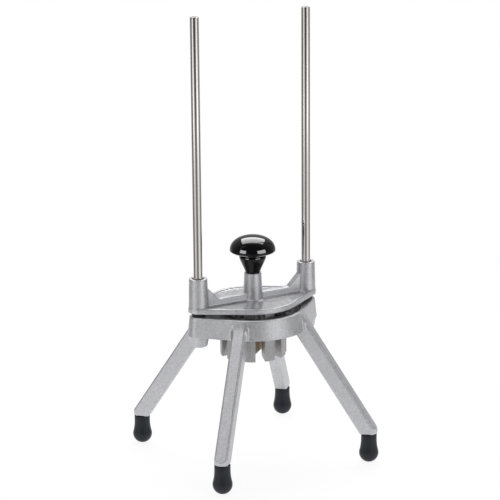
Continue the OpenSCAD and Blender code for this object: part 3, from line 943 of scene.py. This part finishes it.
@dataclass
class FrameCasting:
    """The frame: a lens-shaped wall round the blade ring, rod bosses and four splayed legs."""

    under_z: float = 144.5
    top_z: float = 166.0
    ring_r: float = 59.2
    end_r: float = 12.3
    draft: float = 2.4
    under_edge: Point = (0.3, 0.5)
    edge: float = 0.9
    rod_x: float = 67.0
    seat_r: float = 51.93
    seat_z: float = 150.2
    ledge_r: float = 45.5
    ledge_low_z: float = 120.0
    boss_drop: float = 12.2
    boss_r: float = 9.3
    boss_round: float = 1.6
    rod_bore_r: float = 4.79
    rod_seat_z: float = 140.5
    screw_head_r: float = 4.65
    screw_head_z: float = 137.9
    screw_r: float = 2.55
    screw_end_z: float = 142.0
    screw_low_z: float = 130.0
    leg_root: Point = (59.2, 140.3)
    leg_tip: Point = (130.09, 32.0)
    leg_w: float = 14.6
    leg_t: float = 17.8
    leg_round: float = 2.4
    leg_end_r: float = 9.3
    leg_top_z: float = 163.0
    leg_outs: Sequence[float] = (-14.0, 20.0, 50.0, 95.0)
    leg_span: Point = (30.0, 20.0)
    foot_reach: float = 128.69
    collar_r: float = 8.5
    flare: float = 3.0
    flare_rise: float = 0.45
    flare_root: float = 2.5
    flare_sink: float = 0.02
    grit: float = 0.5
    finish: CastSkin = field(default_factory=CastSkin)

    def wall(self) -> bpy.types.Object:
        """Raises the drafted wall and rounds its upper edge.

        Returns:
            The wall, still closed.
        """
        inset, rise = self.under_edge
        steps = [(inset, rise), (self.draft - inset, self.top_z - self.under_z - self.edge - rise)]
        return Bench.plate("frame_casting", Lens(self.ring_r, self.end_r).points(), self.under_z,
                           steps + round_over(self.edge))

    def boss(self, side: int) -> bpy.types.Object:
        """Turns the boss below the wall that holds a rod.

        Args:
            side: -1 for the left rod, 1 for the right one.

        Returns:
            The boss.
        """
        low, r = self.under_z - self.boss_drop, self.boss_round
        foot = [(self.boss_r - r + r * math.sin(math.radians(a)), low + r - r * math.cos(math.radians(a)))
                for a in (0, 22.5, 45, 67.5, 90)]
        profile = foot + [(self.end_r - 1.2, self.under_z - 0.6), (self.end_r - 0.8, self.under_z + 0.6),
                          (self.end_r - 2.5, self.under_z + 3.0)]
        return Bench.turned("boss", profile, (side * self.rod_x, 0.0), 64)

    def section(self, grow: float) -> list[Point]:
        """Draws the leg's rounded section.

        Args:
            grow: How far it stands out from the leg's own section.

        Returns:
            The section's points: across the leg's slope, then along its width.
        """
        half_t, half_w = self.leg_t / 2 - self.leg_round, self.leg_w / 2 - self.leg_round
        points = []
        for x, y, start in ((1, 1, 0.0), (-1, 1, 90.0), (-1, -1, 180.0), (1, -1, 270.0)):
            for i in range(8):
                a = math.radians(start + 90.0 * i / 7)
                points.append((x * half_t + (self.leg_round + self.flare_rise * grow) * math.cos(a),
                               y * half_w + (self.leg_round + grow) * math.sin(a)))
        return points

    def along(self, point: Point, out: float) -> Vector:
        """Returns a place on the leg.

        Args:
            point: Where the line along the leg passes through its section.
            out: How far out from the drafted wall it is taken.

        Returns:
            The place, for a leg along +X.
        """
        slope = math.atan2(self.leg_root[1] - self.leg_tip[1], self.leg_tip[0] - self.leg_root[0])
        lean = self.draft / (self.top_z - self.under_z - self.edge)
        up = self.leg_root[1] + point[0] * math.cos(slope)
        reach = ((out - point[0] * math.sin(slope) - lean * (up - self.under_z))
                 / (math.cos(slope) - lean * math.sin(slope)))
        return Vector((self.leg_root[0] + point[0] * math.sin(slope) + reach * math.cos(slope), point[1],
                       up - reach * math.sin(slope)))

    def leg(self) -> bpy.types.Object:
        """Models one leg along +X: a rounded bar, a flare against the wall and a round end over the foot.

        Returns:
            The leg.
        """
        bar = Bench.loft("leg", [[self.along(point, out) for point in self.section(0.0)]
                                 for out in self.leg_outs])
        low, r = self.leg_tip[1], self.leg_end_r
        end = Bench.turned("leg_end", [(self.collar_r - 0.2, low), (self.collar_r + 0.05, low + 0.2),
                                       (r - 0.15, low + 1.2), (r, low + 1.9), (r, low + 45.0)],
                           (self.foot_reach, 0.0))
        start, half = self.leg_span
        span = Bench.block("leg_span", (start, -half, low), (self.foot_reach, half, self.leg_top_z))
        Bench.combine(bar, Bench.combine(span, end), Join.SHARE)
        rings = [(-self.flare_root, self.flare)]
        for i in range(9):
            a = math.radians(90.0 * i / 8)
            rings.append((self.flare * (1 - math.cos(a)), self.flare * (1 - math.sin(a)) - self.flare_sink))
        flare = Bench.loft("leg_flare", [[self.along(point, out) for point in self.section(grow)]
                                         for out, grow in rings])
        Bench.slice(flare, (0.0, 0.0, self.under_z + 0.1), (0.0, 0.0, -1.0))
        Bench.slice(flare, (0.0, 0.0, self.leg_top_z), (0.0, 0.0, 1.0))
        return Bench.combine(bar, flare)

    def make(self) -> None:
        """Joins wall, bosses and legs, cuts the seats and hands the casting over."""
        casting = self.wall()
        for side in (-1, 1):
            Bench.combine(casting, self.boss(side))
        leg = self.leg()
        for azimuth in (45, 135, 225, 315):
            Bench.combine(casting, Bench.twin(leg, Matrix.Rotation(math.radians(azimuth), 4, "Z")))
        bpy.data.objects.remove(leg)
        above = self.top_z + 1.0
        Bench.bore(casting, self.ledge_r, self.ledge_low_z, above, steps=128)
        Bench.bore(casting, self.seat_r, self.seat_z, above, steps=128)
        for side in (-1, 1):
            axis = (side * self.rod_x, 0.0)
            Bench.bore(casting, self.rod_bore_r, self.rod_seat_z, above, axis)
            Bench.bore(casting, self.screw_head_r, self.screw_low_z, self.screw_head_z, axis)
            Bench.bore(casting, self.screw_r, self.screw_low_z, self.screw_end_z, axis)
        Bench.sand(casting, self.grit)
        casting.data.materials.append(self.finish.material())
        Bench.shade(casting, CAST_ANGLE)
        deliver(casting, Body.BASE, Slot.CASTING, "base_frame")


@dataclass
class HeadCasting:
    """The pusher head: a pocketed plate with two sleeves, a rib with gussets and a post."""

    plate_z: float = 170.3
    plate_t: float = 5.7
    ring_r: float = 48.0
    end_r: float = 11.0
    lip_w: float = 3.6
    lip_r: float = 1.0
    lip_fall: Sequence[Point] = ((0.2, -0.1), (0.3, -0.3), (0.15, -0.6), (0.25, -0.3), (0.4, -0.1))
    pocket: float = 1.4
    sleeve_h: float = 37.1
    sleeve_low_r: float = 10.7
    sleeve_top_r: float = 9.8
    bore_r: float = 6.41
    post_h: float = 34.2
    post_low_r: float = 10.6
    post_top_r: float = 9.25
    rib_t: float = 7.5
    rib_z: float = 181.6
    gusset_h: float = 14.9
    gusset_sink: float = 3.0
    gusset_r: float = 1.1
    fillet: float = 2.2
    rod_x: float = 67.0
    grit: float = 0.42
    finish: CastSkin = field(default_factory=CastSkin)
    bed: MilledFloor = field(default_factory=MilledFloor)

    @property
    def floor_z(self) -> float:
        """Height of the pocket's bed."""
        return self.plate_z + self.plate_t - self.pocket

    @property
    def sleeve_z(self) -> float:
        """Height of the sleeves' tops."""
        return self.plate_z + self.sleeve_h

    def plate(self) -> bpy.types.Object:
        """Raises the plate, rounds its lip and sinks the pocket.

        Returns:
            The plate.
        """
        steps = [(0.0, 0.5), (0.0, self.plate_t - self.lip_r - 0.5), *round_over(self.lip_r),
                 (self.lip_w - self.lip_r - 0.5, 0.0), *self.lip_fall]
        return Bench.plate("head_casting_dressed", Lens(self.ring_r, self.end_r).points(), self.plate_z, steps)

    def sleeve(self, side: int) -> bpy.types.Object:
        """Turns the sleeve of one rod.

        Args:
            side: -1 for the left rod, 1 for the right one.

        Returns:
            The sleeve.
        """
        top, r = self.sleeve_z, self.sleeve_top_r
        profile = [(self.sleeve_low_r, self.plate_z + 0.8), (self.sleeve_low_r - 0.1, top - 32.0), (r, top - 0.8),
                   (r - 0.12, top - 0.35), (r - 0.35, top - 0.12), (r - 0.8, top)]
        return Bench.turned("sleeve", profile, (side * self.rod_x, 0.0))

    def post(self) -> bpy.types.Object:
        """Turns the post, with the fillet at its foot.

        Returns:
            The post.
        """
        top, r = self.plate_z + self.post_h, self.post_top_r
        slant = (self.post_low_r - r) / self.post_h
        head = top - 0.7
        profile = [(self.post_low_r + self.fillet - 0.2, self.plate_z + 1.0),
                   *cove(self.post_low_r - 0.2, self.floor_z, self.fillet),
                   (self.post_low_r - slant * (head - self.plate_z), head), (r - 0.1, top - 0.3),
                   (r - 0.35, top - 0.08), (r - 0.7, top)]
        return Bench.turned("post", profile)

    def rib(self) -> bpy.types.Object:
        """Pulls the rib's section, with fillets at its foot, from sleeve to sleeve.

        Returns:
            The rib.
        """
        half, top = self.rib_t / 2, self.rib_z
        right = [(half + self.fillet, self.plate_z + 1.0), *cove(half, self.floor_z, self.fillet),
                 (half, top - 1.2), (half - 0.1, top - 0.6), (half - 0.6, top - 0.1), (half - 1.2, top)]
        outline = right + [(-x, z) for x, z in reversed(right)]
        turn = Matrix(((0, 0, 1, 0), (1, 0, 0, 0), (0, 1, 0, 0), (0, 0, 0, 1)))
        return Bench.prism("rib", outline, -self.rod_x, self.rod_x, turn)

    def gusset(self, side: int) -> bpy.types.Object:
        """Pulls one gusset and rounds its long edges.

        Args:
            side: -1 for the left rod, 1 for the right one.

        Returns:
            The gusset.
        """
        top_x, low = self.rod_x - self.sleeve_top_r + 1.0, self.rib_z - self.gusset_sink
        outline = [(side * self.rod_x, low), (side * (top_x - self.gusset_h - self.gusset_sink), low),
                   (side * top_x, self.rib_z + self.gusset_h), (side * self.rod_x, self.rib_z + self.gusset_h)]
        turn = Matrix(((1, 0, 0, 0), (0, 0, -1, 0), (0, 1, 0, 0), (0, 0, 0, 1)))
        piece = Bench.prism("gusset", outline, -self.rib_t / 2, self.rib_t / 2, turn)
        Bench.bevel(piece, self.gusset_r, 3, lambda a, b: abs(a.y - b.y) < 0.01 and abs(a.z - b.z) > 5.0
                    and abs(a.x - b.x) > 5.0)
        return piece

    def make(self) -> None:
        """Joins the parts of the casting, drills the sleeves and hands it over."""
        casting = self.plate()
        for part in (self.rib(), self.gusset(-1), self.gusset(1), self.post(), self.sleeve(-1), self.sleeve(1)):
            Bench.combine(casting, part)
        for side in (-1, 1):
            Bench.bore(casting, self.bore_r, self.plate_z - 1.0, self.sleeve_z + 1.0, (side * self.rod_x, 0.0))
        Bench.sand(casting, self.grit)
        casting.data.materials.append(self.finish.material())
        casting.data.materials.append(self.bed.material())
        for face in casting.data.polygons:
            if face.normal.z > 0.97 and abs(face.center.z / MM - self.floor_z) < 0.25:
                face.material_index = 1
        Bench.shade(casting, CAST_ANGLE)
        deliver(casting, Body.PUSHER, Slot.CASTING, "head_casting")


@dataclass
class PusherBlock:
    """Ten fingers under a disc, one between each pair of blades, with the core's plunger."""

    fingers: int = 10
    outer_r: float = 36.0
    inner_r: float = 18.4
    tip_z: float = 113.5
    rise: float = 1.9
    chamfer: float = 0.8
    slot_w: float = 10.6
    roof_z: float = 165.7
    disc_z: float = 170.3
    stud_r: float = 5.05
    screw_r: float = 4.8
    screw_x: float = 27.0
    eased: float = 0.35
    ease_angle: float = 40.0
    plunger_r: float = 9.3
    plunger_tip_z: float = 109.3
    # The block's cast skin is toned darker than the frame's: painted shade, for the dark gap under the head and
    # among the fingers.
    finish: CastSkin = field(default_factory=lambda: CastSkin(
        name="block_skin_painted_shade", dull=(0.29, 0.285, 0.285), bright=(0.46, 0.45, 0.45)))
    # The plunger's dark brown tone is painted shade with a painted warm reflection, for the hollow among the
    # fingers.
    steel: GroundSteel = field(default_factory=lambda: GroundSteel(
        "plunger_painted_shade", tone=(0.15, 0.12, 0.08), rough=0.3))

    def block(self) -> bpy.types.Object:
        """Turns the block, hollows it and cuts the slots for the blades.

        Returns:
            The block.
        """
        chamfer = self.chamfer
        profile = [(self.inner_r, self.tip_z + self.rise), (self.outer_r - chamfer, self.tip_z),
                   (self.outer_r - 0.25 * chamfer, self.tip_z + 0.35 * chamfer),
                   (self.outer_r, self.tip_z + chamfer), (self.outer_r, self.disc_z)]
        block = Bench.turned("pusher_block_dressed", profile, steps=120)
        Bench.bore(block, self.inner_r, self.tip_z - 2.0, self.roof_z, steps=96)
        wide = self.outer_r + 4.0
        for i in range(self.fingers // 2):
            slot = Bench.block("slot", (-wide, -self.slot_w / 2, self.tip_z - 3.0),
                               (wide, self.slot_w / 2, self.roof_z))
            slot.matrix_world = Matrix.Rotation(math.radians(i * 360.0 / self.fingers), 4, "Z")
            Bench.settle(slot)
            Bench.combine(block, slot, Join.CUT)
        low, high = self.roof_z - 1.0, self.disc_z + 1.0
        Bench.bore(block, self.stud_r, low, high)
        for side in (-1, 1):
            Bench.bore(block, self.screw_r, low, high, (side * self.screw_x, 0.0), 32)
        Bench.hold(block)
        ease = block.modifiers.new("ease", "BEVEL")
        ease.width = self.eased * MM
        ease.segments = 2
        ease.limit_method = "ANGLE"
        ease.angle_limit = math.radians(self.ease_angle)
        bpy.ops.object.modifier_apply(modifier=ease.name)
        return block

    def plunger(self) -> bpy.types.Object:
        """Turns the pointed plunger.

        Returns:
            The plunger.
        """
        tip = self.plunger_tip_z
        profile = [(0.5, tip + 0.6), (0.9, tip + 0.75), (self.plunger_r - 0.2, tip + self.plunger_r - 0.3),
                   (self.plunger_r, tip + self.plunger_r + 0.1), (self.plunger_r, self.roof_z),
                   (5.0, self.roof_z + 0.01), (5.0, self.disc_z + 13.9)]
        return Bench.turned("core_plunger_dressed", profile)

    def make(self) -> None:
        """Hands over the block and the plunger."""
        block = self.block()
        block.data.materials.append(self.finish.material())
        Bench.shade(block, 35.0)
        deliver(block, Body.PUSHER, Slot.CASTING, "pusher_block")
        plunger = self.plunger()
        plunger.data.materials.append(self.steel.material())
        Bench.shade(plunger, 35.0)
        deliver(plunger, Body.PUSHER, Slot.ROD, "core_plunger")


@dataclass
class KeptNodes:
    """Nodes whose own shape stays: the cutter, the bushings, the bumpers and the fasteners."""

    def make(self) -> None:
        """Gives each kept node its finish, with painted shade in the cutter's steels."""
        # The blades, the ring and the core tube are toned darker than bright steel: painted shade, for the dark gap
        # between the head and the frame.
        blade = GroundSteel("blade_steel_painted_shade", tone=(0.52, 0.52, 0.53), rough=0.17, lines=(0.08, 0.08, 1.0),
                            pitch=0.00035).material()
        turned = GroundSteel("ring_steel_painted_shade", tone=(0.40, 0.40, 0.41), rough=0.26, pitch=0.0004).material()
        screw = GroundSteel("screw_steel_finish", tone=(0.52, 0.52, 0.53), rough=0.3, lines=(0.4, 0.4, 1.0),
                            pitch=0.0005).material()
        bronze = Bronze().material()
        rubber = Rubber(name="bumper_rubber").material()
        finishes = (("blade_ring", turned), ("core_tube", turned), ("blade_", blade), ("bush_", bronze),
                    ("bumper_", rubber), ("", screw))
        for name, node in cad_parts.items():
            if node.hide_render:
                continue
            material = next(finish for start, finish in finishes if name.startswith(start))
            node.data.materials.clear()
            node.data.materials.append(material)
            Bench.hold(node)
            log.info("%s keeps its node, in %s", name, material.name)


# ------------------------------------------------------------------ studio


@dataclass
class Studio:
    """The photograph's studio: a white table and room, and soft lamps overhead and on both sides.

    Directions in the room are counted from the front, where the photographer stands, which is 30
    degrees from -Y towards -X. low_wall and high_wall give the brightness of the room's walls that
    gloss sees, at azimuths in degrees, and windows each lamp's name, azimuth, elevation, distance,
    size, brightness on all pieces, brightness on the knob and whether it hangs level.
    """

    front: float = 30.0
    table_r: float = 0.62
    table_tone: float = 0.86
    table_white: float = 1.06
    table_to_eye: float = 0.85
    table_to_gloss: float = 0.72
    ambient: float = 0.42
    peak: float = 1.3
    aim: Place = (0.0, 0.0, 0.23)
    knob_gap: float = 0.05
    camera_at: Place = (-1.06727, -1.84278, 0.79959)
    camera_to: Place = (-0.0024, 0.0014, 0.2289)
    camera_roll: float = -0.008
    focal_px: float = 2054.66
    picture_px: float = 500.0
    film: float = 36.0
    low_wall: Sequence[Point] = (
        (-180, 0.85), (-140, 0.80), (-116, 0.30), (-99, 0.12), (-84, 0.26), (-66, 0.66), (-52, 1.04), (-40, 1.0),
        (-28, 0.72), (-15, 0.32), (0, 0.15), (15, 0.32), (28, 0.80), (41, 1.22), (54, 1.28), (67, 0.98), (82, 0.48),
        (98, 0.18), (116, 0.36), (140, 0.84), (180, 0.85))
    high_wall: Sequence[Point] = (
        (-180, 0.55), (-120, 0.45), (-85, 0.22), (-45, 0.10), (0, 0.07), (45, 0.10), (85, 0.24), (120, 0.50),
        (180, 0.55))
    windows: Sequence[tuple[str, float, float, float, Point, float, float, bool]] = (
        ("top", 178.0, 49.0, 1.9, (1.66, 1.79), 3.2, 10.5, True),
        ("left", -50.0, 13.0, 2.2, (1.22, 1.12), 1.1, 19.0, False),
        ("right", 47.0, 14.0, 2.2, (1.66, 1.18), 1.1, 19.0, False))

    def floor(self) -> None:
        """Lays a white table top that keeps a faint shadow."""
        Bench.clear()
        bpy.ops.mesh.primitive_circle_add(vertices=128, radius=self.table_r, fill_type="NGON",
                                          location=(0.0, 0.0, -0.0002))
        floor = bpy.context.active_object
        floor.name = "table_top"
        sheet = Sheet("table_white")
        eye = sheet.ray("Is Camera Ray")
        gloss = sheet.ray("Is Glossy Ray")
        paper = sheet.add("ShaderNodeBsdfDiffuse", {}, {"Color": (*(self.table_tone,) * 3, 1.0)})
        white = sheet.add("ShaderNodeEmission", {}, {"Color": (1.0, 1.0, 1.0, 1.0), "Strength": self.table_white})
        share = self.table_to_eye * eye + self.table_to_gloss * gloss
        mixed = sheet.add("ShaderNodeMixShader", {}, {0: share, 1: paper, 2: white})
        sheet.add("ShaderNodeOutputMaterial", {}, {"Surface": mixed})
        floor.data.materials.append(sheet.material)

    def toward(self, turn: float, rise: float) -> Vector:
        """Turns two angles into a direction in the room.

        Args:
            turn: Its azimuth from the front, in degrees, to the photographer's right.
            rise: Its elevation, in degrees.

        Returns:
            The direction, one long.
        """
        a = math.radians(turn - self.front)
        b = math.radians(rise)
        return Vector((math.sin(a) * math.cos(b), -math.cos(a) * math.cos(b), math.sin(b)))

    def softbox(self, name: str, turn: float, rise: float, distance: float, size: Point, radiance: float,
                level: bool = False, only: Sequence[str] = ()) -> None:
        """Hangs a soft lamp that reflections show as a bright window.

        Args:
            name: The lamp's name.
            turn: Its azimuth from the front, in degrees, to the photographer's right.
            rise: Its elevation above the head, in degrees.
            distance: How far off it hangs, in metres.
            size: Its width and height in metres.
            radiance: Its brightness, where 1 is white.
            level: Whether it hangs level, facing down, and otherwise faces the press.
            only: The pieces that it lights, if not all.
        """
        data = bpy.data.lights.new(name, "AREA")
        data.shape = "RECTANGLE"
        data.size, data.size_y = size
        data.energy = radiance * math.pi * size[0] * size[1]
        lamp = bpy.data.objects.new(name, data)
        bpy.context.scene.collection.objects.link(lamp)
        out = self.toward(turn, rise)
        lamp.location = Vector(self.aim) + out * distance
        if level:
            lamp.rotation_euler = (0.0, 0.0, math.radians(turn - self.front))
        else:
            lamp.rotation_euler = (-out).to_track_quat("-Z", "Y").to_euler()
        lamp.visible_camera = False
        if only:
            lit = bpy.data.collections.new(f"{name}_lights")
            for piece in only:
                lit.objects.link(bpy.data.objects[piece])
            lamp.light_linking.receiver_collection = lit

    def wall(self, sheet: Sheet, turn: Wire, tones: Sequence[Point]) -> Wire:
        """Draws the room's brightness round the object.

        Args:
            sheet: The room's sheet.
            turn: The azimuth, from 0 to 1 all the way round.
            tones: The brightness at some azimuths in degrees.

        Returns:
            The brightness.
        """
        stops = [(azimuth / 360.0 + 0.5, (tone / self.peak,) * 3) for azimuth, tone in tones]
        ramp = sheet.add("ShaderNodeValToRGB", {"stops": stops}, {"Fac": turn})
        return self.peak * sheet.add("ShaderNodeSeparateColor", {}, {"Color": ramp}, 0)

    def room(self) -> None:
        """Fills the room: white to the eye, plain for soft light, and its walls for gloss."""
        sheet = RoomSheet("studio_room")
        ray = sheet.add("ShaderNodeTexCoord", {}, {}, "Generated")
        x, y, z = (sheet.add("ShaderNodeSeparateXYZ", {}, {"Vector": ray}, axis) for axis in "XYZ")
        a = math.radians(self.front)
        ahead = x * -math.sin(a) + y * -math.cos(a)
        side = x * math.cos(a) + y * -math.sin(a)
        turn = side.angle(ahead) * (0.5 / math.pi) + 0.5
        low, high = self.wall(sheet, turn, self.low_wall), self.wall(sheet, turn, self.high_wall)
        rise = z.window(-0.06, 0.08)
        seen = low * (1.0 - rise) + high * rise
        eye = sheet.ray("Is Camera Ray")
        gloss = sheet.ray("Is Glossy Ray")
        strength = eye + (1.0 - eye) * (gloss * seen + (1.0 - gloss) * self.ambient)
        back = sheet.add("ShaderNodeBackground", {}, {"Color": (1.0, 1.0, 1.0, 1.0), "Strength": strength})
        sheet.add("ShaderNodeOutputWorld", {}, {"Surface": back})
        bpy.context.scene.world = sheet.room

    def camera(self) -> None:
        """Sets the camera at the photograph's place."""
        place = Vector(self.camera_at)
        forward = (Vector(self.camera_to) - place).normalized()
        right = forward.cross(Vector((0.0, 0.0, 1.0))).normalized()
        up = right.cross(forward)
        cosine, sine = math.cos(self.camera_roll), math.sin(self.camera_roll)
        right, up = cosine * right + sine * up, -sine * right + cosine * up
        data = bpy.data.cameras.new("photo_camera")
        data.sensor_width = self.film
        data.lens = self.focal_px * self.film / self.picture_px
        data.clip_start = 0.05
        data.clip_end = 200.0
        camera = bpy.data.objects.new("photo_camera", data)
        bpy.context.scene.collection.objects.link(camera)
        camera.matrix_world = Matrix((
            (right.x, up.x, -forward.x, place.x), (right.y, up.y, -forward.y, place.y),
            (right.z, up.z, -forward.z, place.z), (0.0, 0.0, 0.0, 1.0)))
        bpy.context.scene.camera = camera

    def make(self) -> None:
        """Sets up camera, floor, room and lamps, with brighter twins of the windows for the knob alone."""
        bpy.context.scene.view_settings.view_transform = "Standard"
        self.camera()
        self.floor()
        self.room()
        for name, turn, rise, distance, size, soft, sharp, level in self.windows:
            self.softbox(f"{name}_lamp", turn, rise, distance, size, soft, level)
            self.softbox(f"{name}_lamp_knob", turn, rise, distance - self.knob_gap, size, sharp - soft, level,
                         ("hand_knob",))
        castings = ("frame_casting", "head_casting_dressed")
        self.softbox("fill_lamp", -28.0, 52.0, 2.0, (1.5, 1.2), 1.3, only=castings)


def main() -> None:
    """Builds the press piece by piece, then the studio."""
    logging.basicConfig(level=logging.INFO, format="%(name)s: %(message)s")
    for maker in (FrameCasting(), HeadCasting(), PusherBlock(), Feet(), Rods(), Knob(), KeptNodes(), Studio()):
        log.info("making %s", type(maker).__name__)
        maker.make()
    bpy.context.view_layer.update()


if __name__ == "__main__":
    main()
